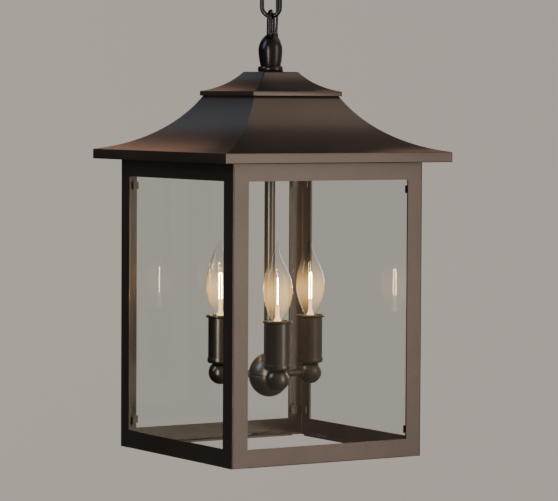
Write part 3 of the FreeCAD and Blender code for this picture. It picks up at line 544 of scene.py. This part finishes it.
wire, bend = 0.0047, 0.0099
links = {"upper": "upper_link", "middle": "middle_link", "lower": "lower_link"}
for name, body in links.items():
    low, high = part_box(f"chain_link_{name}")
    straight_run = (high.z - low.z) - wire - 2 * bend
    middle = (low.z + high.z) / 2
    s = np.linspace(0, 1, 161)[:-1]
    total = 2 * straight_run + 2 * np.pi * bend
    d = s * total
    half_arc = np.pi * bend
    legs = [d < straight_run, d < straight_run + half_arc, d < 2 * straight_run + half_arc]
    angle_top = (d - straight_run) / bend
    angle_low = (d - 2 * straight_run - half_arc) / bend
    across = np.select(legs, [bend + 0 * d, bend * np.cos(angle_top), -bend + 0 * d],
                       -bend * np.cos(angle_low))
    up = np.select(legs, [d - straight_run / 2, straight_run / 2 + bend * np.sin(angle_top),
                          straight_run / 2 - (d - straight_run - half_arc)],
                   -straight_run / 2 - bend * np.sin(angle_low))
    diagonal = 1 if name != "middle" else -1
    path = np.stack([across / np.sqrt(2), diagonal * across / np.sqrt(2), middle + up], -1)
    from_seam = np.minimum(np.abs(d - straight_run / 2), total - np.abs(d - straight_run / 2))
    radii = wire / 2 * (1 - 0.12 * np.exp(-(from_seam / 0.0005) ** 2))
    piece = tube(f"link_{name}", path, radii, closed=True)
    finished(piece, cast_paint, body, [f"chain_link_{name}"])

kept("finial_loop", cast_paint)
kept("canopy_loop", cast_paint)
collar_low, collar_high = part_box("finial_collar")
collar_r, collar_z = collar_high.x, (collar_low.z + collar_high.z) / 2
half_height = (collar_high.z - collar_low.z) / 2
swell = np.linspace(-np.pi / 2, np.pi / 2, 15)
collar = [(stem_radius, collar_low.z)]
collar += [(collar_r - 0.0014 + 0.0014 * np.cos(a), collar_z + half_height * np.sin(a)) for a in swell]
collar += [(stem_radius, collar_high.z), (stem_radius, collar_low.z)]
finished(lathe("collar", collar), cast_paint, "lantern", ["finial_collar"])

kept("canopy_cover", frame_paint)

# ---------------------------------------------------------------- glass
# Four panes of clear float glass, 3 mm, ground edges, on rubber pads behind the posts.


def clear_glass(name, tint, edge_tint, gloss, ior):
    """Clear glass that lets light straight through and mirrors more towards its rim."""
    finish, shade = new_finish(name)
    leaving = shade.node("ShaderNodeNewGeometry", out=6)
    fresnel = shade.node("ShaderNodeFresnel", sockets={"IOR": ior}) * (1 - leaving)
    through = shade.node("ShaderNodeBsdfTransparent", sockets={"Color": tint})
    mirror = shade.node("ShaderNodeBsdfGlossy", sockets={"Color": edge_tint, "Roughness": gloss})
    mixed = shade.node("ShaderNodeMixShader", sockets={0: fresnel, 1: through, 2: mirror})
    shade.node("ShaderNodeOutputMaterial", sockets={"Surface": mixed})
    return finish


# The clips that hold the panes, and their screws, are bronzed like the frame.
for node in ("glass_clips", "glass_clip_screws"):
    kept(node, frame_paint)
pane_glass = clear_glass("pane_glass", (0.955, 0.97, 0.965), (1, 1, 1), 0.0, 1.5)
for number in range(4):
    low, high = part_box(f"glass_pane_{number + 1}")
    outline = [(low.x, low.y), (high.x, low.y), (high.x, high.y), (low.x, high.y)]
    pane = straight(np.array(outline), lambda a, b, z: np.stack([a, b, z], -1), low.z, high.z)
    piece = surface(f"pane_{number + 1}", pane, smooth=False, ends=True)
    finished(softened(piece, 0.0004), pane_glass, "lantern", [f"glass_pane_{number + 1}"])
    unlit.objects.link(piece)
for member in unlit.collection_objects:
    member.light_linking.link_state = "EXCLUDE"

steel, shade = new_finish("clip_steel")
place = shade.node("ShaderNodeTexCoord", out=3)
speck = shade.node("ShaderNodeTexNoise", sockets={"Vector": place, "Scale": 700.0, "Detail": 3.0})
principled(shade, {"Base Color": speck.between((0.42, 0.41, 0.39), (0.62, 0.61, 0.58)),
                   "Metallic": 1.0, "Roughness": 0.25 + speck * 0.2})
for node in ("roof_screws", "stem_locknuts", "mounting_strap", "strap_locknut"):
    kept(node, steel)
rubber, shade = new_finish("pad_rubber")
place = shade.node("ShaderNodeTexCoord", out=3)
speck = shade.node("ShaderNodeTexNoise", sockets={"Vector": place, "Scale": 900.0})
principled(shade, {"Base Color": speck.between((0.030, 0.025, 0.021), (0.060, 0.050, 0.042)),
                   "Roughness": 0.7})
kept("glass_setting_pads", rubber)
kept("cord_bushing", rubber)

# ---------------------------------------------------------------- stem and candle lights
# Turned and spun brass with a thin dark bronze lacquer: a stem, a two-part hub, three
# arms, and on each a ball, a shallow cup and a candle sleeve with a rolled rim.
lamp_lacquer = bronze("lamp_lacquer", (0.110, 0.096, 0.076), (0.200, 0.176, 0.144), 0.27, 0.05,
                      metal=0.92, fleck=0.04)
for node in ("stem_tube", "hub_spider"):
    kept(node, lamp_lacquer)


def joined(name, pieces):
    """One piece from several, with their places in its mesh."""
    work = bmesh.new()
    for piece in pieces:
        work.from_mesh(piece.data)
        bpy.data.objects.remove(piece)
    mesh = bpy.data.meshes.new(name)
    work.to_mesh(mesh)
    work.free()
    whole = bpy.data.objects.new(name, mesh)
    bpy.context.collection.objects.link(whole)
    return whole


def corner_round(points, radius, steps=4):
    """An open profile whose inner corners are turned by small arcs."""
    points = np.asarray(points, float)
    smooth = [points[:1]]
    for back, corner, ahead in zip(points, points[1:], points[2:]):
        to_back, to_ahead = back - corner, ahead - corner
        reach = min(radius, 0.45 * np.linalg.norm(to_back), 0.45 * np.linalg.norm(to_ahead))
        start = corner + to_back / np.linalg.norm(to_back) * reach
        end = corner + to_ahead / np.linalg.norm(to_ahead) * reach
        t = np.linspace(0, 1, steps + 1)[:, None]
        smooth.append((1 - t) ** 2 * start + 2 * t * (1 - t) * corner + t ** 2 * end)
    return np.concatenate(smooth + [points[-1:]])


hub_low, hub_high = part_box("hub_lower_cup")[0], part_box("hub_upper_cup")[1]
arms_z = (hub_low.z + hub_high.z) / 2
hub_r, hub_half, hub_wall = hub_high.x, (hub_high.z - hub_low.z) / 2, 0.0015
seam_half = 0.0006
for node, side in (("hub_upper_cup", 1), ("hub_lower_cup", -1)):
    start = np.arcsin(seam_half / hub_half)
    end = np.pi / 2 if side < 0 else np.arccos(stem_hole / hub_r)
    angles = np.linspace(start, end, 40)
    outside = np.stack([hub_r * np.cos(angles), hub_half * np.sin(angles)], -1)
    inside = np.stack([(hub_r - hub_wall) * np.cos(angles),
                       (hub_half - hub_wall) * np.sin(angles)], -1)
    profile = np.concatenate([outside, inside[::-1], outside[:1]])
    profile[:, 0] = np.maximum(profile[:, 0], 0 if side < 0 else stem_hole)
    profile[:, 1] = arms_z + side * profile[:, 1]
    finished(lathe(node + "_spun", profile), lamp_lacquer, "lantern", [node])

candles = [((low.x + high.x) / 2, (low.y + high.y) / 2)
           for low, high in (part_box(f"candle_sleeve_{number}") for number in (1, 2, 3))]
candle_circle = np.hypot(*candles[0])
bearings = [np.arctan2(y, x) for x, y in candles]
ball_r, arm_r, arm_collar_r, arm_collar_run = 0.0126, 0.00375, 0.0052, 0.003
collar_end = candle_circle - np.sqrt(ball_r ** 2 - arm_collar_r ** 2)
arm_ends = 0.0160, candle_circle - ball_r + 0.002
collar_start = collar_end - arm_collar_run
arm_profile = corner_round([(0, arm_ends[0]), (arm_r, arm_ends[0]), (arm_r, collar_start),
                            (arm_collar_r, collar_start), (arm_collar_r, collar_end),
                            (arm_r, collar_end), (arm_r, arm_ends[1]), (0, arm_ends[1])], 0.0005)
arms = []
for bearing in bearings:
    angles = np.linspace(0, 2 * np.pi, 49)
    across = np.outer(arm_profile[:, 0], np.cos(angles))
    along = np.outer(arm_profile[:, 1], np.ones(49))
    points = np.stack([along * np.cos(bearing) - across * np.sin(bearing),
                       along * np.sin(bearing) + across * np.cos(bearing),
                       arms_z + np.outer(arm_profile[:, 0], np.sin(angles))], -1)
    arms.append(surface("arm", points))
finished(joined("arms", arms), lamp_lacquer, "lantern", ["lamp_arms"])

cup_low, cup_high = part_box("candle_cups")[0].z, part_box("candle_cups")[1].z
sleeve_low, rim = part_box("candle_sleeve_1")[0].z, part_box("candle_sleeve_1")[1].z
rim_r = (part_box("candle_sleeve_1")[1].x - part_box("candle_sleeve_1")[0].x) / 2
cup_r, sleeve_r, sleeve_wall, bead = 0.0139, 0.0131, 0.0012, 0.0013
ball_wall, nipple_hole = 0.0015, 0.0049


def dome(radius, top):
    """The lower part of a ball round an arm's end, from its foot up to a flat top."""
    polar = np.linspace(-np.pi / 2, np.arcsin((top - arms_z) / radius), 40)
    return np.stack([radius * np.cos(polar), arms_z + radius * np.sin(polar)], -1)


roof_z, cup_middle = cup_low - ball_wall, (cup_low + sleeve_low) / 2
ball = np.concatenate([dome(ball_r, cup_low), [(nipple_hole, cup_low), (nipple_hole, roof_z)],
                       dome(ball_r - ball_wall, roof_z)[::-1]])
cup = corner_round([(nipple_hole, cup_middle), (nipple_hole, cup_low),
                    (cup_r - 0.0022, cup_low), (cup_r - 0.0006, cup_low + 0.0008),
                    (cup_r, cup_low + 0.0024), (cup_r, cup_high), (sleeve_r, cup_high),
                    (sleeve_r, sleeve_low), (nipple_hole, sleeve_low),
                    (nipple_hole, cup_middle)], 0.0004)
finished(joined("balls", [lathe("ball", ball, 64, place) for place in candles]),
         lamp_lacquer, "lantern", ["candle_balls"])
finished(joined("cups", [lathe("cup", cup, 64, place) for place in candles]),
         lamp_lacquer, "lantern", ["candle_cups"])
rolled = np.linspace(-np.pi / 2, np.pi / 2, 13)
sleeve_bore, rim_bore, seam_z = sleeve_r - sleeve_wall, 0.0107, rim - 0.0040
sleeve = np.concatenate([
    corner_round([(sleeve_bore, seam_z), (sleeve_bore, sleeve_low), (sleeve_r, sleeve_low),
                  (sleeve_r, rim - 2 * bead - 0.0004), (sleeve_r + 0.0006, rim - 2 * bead)], 0.0003),
    np.stack([rim_r - bead + bead * np.cos(rolled), rim - bead + bead * np.sin(rolled)], -1),
    corner_round([(rim_bore + 0.0003, rim), (rim_bore, rim - 0.0003), (rim_bore, rim - sleeve_wall),
                  (sleeve_bore, rim - sleeve_wall), (sleeve_bore, seam_z)], 0.0002)])
for number, place in enumerate(candles, 1):
    finished(lathe(f"sleeve_{number}", sleeve, 80, place), lamp_lacquer, "lantern",
             [f"candle_sleeve_{number}"])
socket_finish, shade = new_finish("socket_phenolic")
place = shade.node("ShaderNodeTexCoord", out=3)
speck = shade.node("ShaderNodeTexNoise", sockets={"Vector": place, "Scale": 300.0})
principled(shade, {"Base Color": speck.between((0.60, 0.55, 0.46), (0.72, 0.68, 0.60)),
                   "Roughness": 0.5})
kept("candle_sockets", socket_finish)

# ---------------------------------------------------------------- bulbs
# Clear flame-shaped glass with a drawn-out bent tip, a pressed glass stem that carries
# the looped filament, and a brass screw shell. Lit, the glass has a painted glow: a faint
# amber emission on the glass itself that depends on its height alone.
outline_points = [(0, -1.5), (6.2, -1.5), (6.5, -1.1), (6.6, 0.4), (8.7, 4.6), (12.75, 14.8),
                  (14.7, 21.9), (15.9, 32.0), (14.1, 46.0), (10.1, 57.3), (5.7, 68.0),
                  (2.9, 75.1), (1.8, 81.0), (1.2, 84.2), (0, 84.85)]
bulb_widest, bulb_wall = 0.01595, 0.0007
envelope = flowing(np.array(outline_points) / 1000, 110)
envelope[:, 0] = np.clip(envelope[:, 0], 0, bulb_widest)
envelope[[0, -1], 0] = 0
cavity = np.array([(max(r - bulb_wall, 0), z) for r, z in envelope if -0.0008 < z < 0.081])
cavity = np.concatenate([[(0, cavity[0, 1])], cavity, [(0, cavity[-1, 1] + 0.0008)]])
leftwards = -np.array([level.x, level.y])


def bent(profile, place):
    """A bulb's profile turned about its axis, which leans aside and back near the tip."""
    angles = np.linspace(0, 2 * np.pi, 73)
    height = profile[:, 1]
    lean = np.interp(height, np.array([0, 0.040, 0.055, 0.068, 0.076, 0.085]),
                     np.array([0, 0, 0.0009, 0.0022, 0.0016, -0.0007]))
    x = place[0] + leftwards[0] * lean[:, None] + np.outer(profile[:, 0], np.cos(angles))
    y = place[1] + leftwards[1] * lean[:, None] + np.outer(profile[:, 0], np.sin(angles))
    return np.stack([x, y, rim + np.outer(height, np.ones(73))], -1)


def height_in(shade):
    """A point's height in the lantern at rest, whatever its body does."""
    place = shade.node("ShaderNodeTexCoord", out=3)
    return shade.node("ShaderNodeSeparateXYZ", sockets={0: place}, out=2)


def painted_glow_band(shade, height, spread):
    """Mask of the painted glow on the bulb glass: 1 at a height over the sleeve's rim, falling off
    smoothly with distance up and down.
    """
    away = (height_in(shade) - (rim + height)) * (1 / spread)
    return shade.math("EXPONENT", (away * away) * -1.0, 0.0)


bulb_finish, shade = new_finish("bulb_glass")
leaving = shade.node("ShaderNodeNewGeometry", out=6)
fresnel = shade.node("ShaderNodeFresnel", sockets={"IOR": 1.52}) * (1 - leaving)
rimward = shade.node("ShaderNodeLayerWeight", sockets={"Blend": 0.5}, out=1)
through = shade.node("ShaderNodeBsdfTransparent", sockets={"Color": (0.99, 0.985, 0.975)})
mirror = shade.node("ShaderNodeBsdfGlossy", sockets={"Color": (1, 0.98, 0.95), "Roughness": 0.03})
clear = shade.node("ShaderNodeMixShader", sockets={0: (fresnel + rimward ** 4.0 * 0.4).clamped(),
                                                   1: through, 2: mirror})
# painted glow: amber emission on the clear glass in a band above the rim, standing in for the filament's
# glare on it
glass_painted_glow = shade.node("ShaderNodeEmission", sockets={"Color": (1.0, 0.56, 0.19), "Strength": 3.2})
clear_and_painted_glow = shade.node("ShaderNodeMixShader", sockets={
    0: painted_glow_band(shade, 0.028, 0.017) * 0.10, 1: clear, 2: glass_painted_glow})
shade.node("ShaderNodeOutputMaterial", sockets={"Surface": clear_and_painted_glow})

# The filament's wire glows white-hot above the glass stem; below it the stem has a painted warm glow
# that stands in for the filament's light on it.
glow, shade = new_finish("filament_glow")
above = ((height_in(shade) - (rim + 0.0172)) * 4000.0).clamped()
lit = shade.node("ShaderNodeEmission", sockets={"Color": (1.0, 0.74, 0.40), "Strength": 90.0})
# painted glow on the glass stem, for the filament's light falling on it
painted_stem_glow = shade.node("ShaderNodeEmission", sockets={"Color": (1.0, 0.62, 0.30), "Strength": 2.4})
shade.node("ShaderNodeOutputMaterial", sockets={
    "Surface": shade.node("ShaderNodeMixShader", sockets={0: above, 1: painted_stem_glow, 2: lit})})
brass, shade = new_finish("base_brass")
place = shade.node("ShaderNodeTexCoord", out=3)
speck = shade.node("ShaderNodeTexNoise", sockets={"Vector": place, "Scale": 400.0})
principled(shade, {"Base Color": speck.between((0.62, 0.46, 0.20), (0.80, 0.64, 0.34)),
                   "Metallic": 1.0, "Roughness": 0.3})
stem_profile = corner_round([(0, -0.8), (4.6, -0.8), (2.6, 3.0), (2.0, 6.0), (2.0, 16.6),
                             (0, 17.0)], 1.5)
half_spread, filament_top, filament_length = 0.0015, 0.044, 0.0272
for number, place in enumerate(candles, 1):
    outside = surface("outside", bent(envelope, place))
    inside = surface("inside", bent(cavity, place))
    inside.data.flip_normals()
    envelope_piece = joined(f"envelope_{number}", [outside, inside])
    finished(envelope_piece, bulb_finish, f"bulb_{number}", [f"bulb_glass_{number}"])
    stem = lathe("stem", stem_profile / 1000 + [0, rim], 32, place)
    across = np.array([np.cos(bearings[number - 1]), np.sin(bearings[number - 1]), 0])
    turn = np.linspace(0, np.pi, 25)[:, None]
    top = np.array([*place, rim + filament_top])
    loop = top + half_spread * (np.cos(turn) * across + np.sin(turn) * np.array([0, 0, 1]))
    legs = [top + sign * half_spread * across - [0, 0, filament_length] for sign in (1, -1)]
    wire_path = np.concatenate([np.linspace(legs[0], loop[0], 40)[:-1], loop,
                                np.linspace(loop[-1], legs[1], 40)[1:]])
    filament = joined(f"filament_{number}", [stem, tube("loop", wire_path, 0.0003, 12)])
    finished(filament, glow, f"bulb_{number}", [f"bulb_filament_{number}"])
    kept(f"bulb_shell_{number}", brass)
    kept(f"bulb_contact_{number}", steel)
    lamp = bpy.data.lights.new("bulb_light", "POINT")
    lamp.energy, lamp.color, lamp.shadow_soft_size = 0.9, (1.0, 0.62, 0.30), 0.012
    holder = bpy.data.objects.new("bulb_light", lamp)
    holder.location = (*place, rim + 0.033)
    holder.visible_glossy = False
    bpy.context.collection.objects.link(holder)
    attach(holder, f"bulb_{number}")

# ---------------------------------------------------------------- supply cord
# One round jacketed cord from the ceiling to the hub: down through the ring's neck,
# beside the three links, into the egg's bushing and the stem. Its four lengths ride on no body.
jacket = bronze("cord_jacket", (0.016, 0.014, 0.013), (0.045, 0.038, 0.034), 0.34, 0.4, metal=0.0)
cord_r = 0.0014
across_chain = [(0, 0, 76.0), (0, 0, 423.1), (2.5, 5.3, 435.75), (2.5, 5.3, 449.5), (4.7, 5.6, 463.85),
                (5.3, 5.2, 488.25), (4.7, 5.6, 512.25), (5.0, 5.2, 535.9), (0, 0, 550.4), (0, 0, 572.4)]
route = np.array([((u + v) / np.sqrt(2), (u - v) / np.sqrt(2), z) for u, v, z in across_chain]) / 1000
route[:, 2] += foot


def eased(points, steps=14):
    """Straight runs joined by tangent arcs that are as large as the runs allow."""
    path = [points[:1]]
    for before, corner, after in zip(points, points[1:], points[2:]):
        back, ahead = before - corner, after - corner
        cut = 0.45 * min(np.linalg.norm(back), np.linalg.norm(ahead))
        back, ahead = back / np.linalg.norm(back), ahead / np.linalg.norm(ahead)
        swing = np.pi - np.arccos(np.clip(back @ ahead, -1, 1))
        radius = cut / np.tan(swing / 2)
        middle = (back + ahead) / np.linalg.norm(back + ahead)
        centre = corner + middle * radius / np.cos(swing / 2)
        start, end = corner + back * cut - centre, corner + ahead * cut - centre
        t = np.linspace(0, 1, steps + 1)[:, None]
        path.append(centre + (np.sin((1 - t) * swing) * start + np.sin(t * swing) * end) / np.sin(swing))
    return np.concatenate(path + [points[-1:]])


cord_path = eased(route)
fine = np.concatenate([np.linspace(a, b, max(2, int(np.linalg.norm(b - a) / 0.0012)), endpoint=False)
                       for a, b in zip(cord_path, cord_path[1:])] + [cord_path[-1:]])
for number in (1, 2, 3, 4):
    low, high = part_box(f"supply_cord_{number}")
    run = fine[(fine[:, 2] > low.z) & (fine[:, 2] < high.z)]
    ends = [fine[np.argmin(np.abs(fine[:, 2] - level_z))] * [1, 1, 0] + [0, 0, level_z]
            for level_z in (low.z + 1e-5, high.z - 1e-5)]
    piece = tube(f"cord_{number}", np.concatenate([ends[:1], run, ends[1:]]), cord_r - 1e-5, 24)
    finished(piece, jacket, None, [f"supply_cord_{number}"])
    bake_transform(piece)
kept("lamp_wiring", jacket)
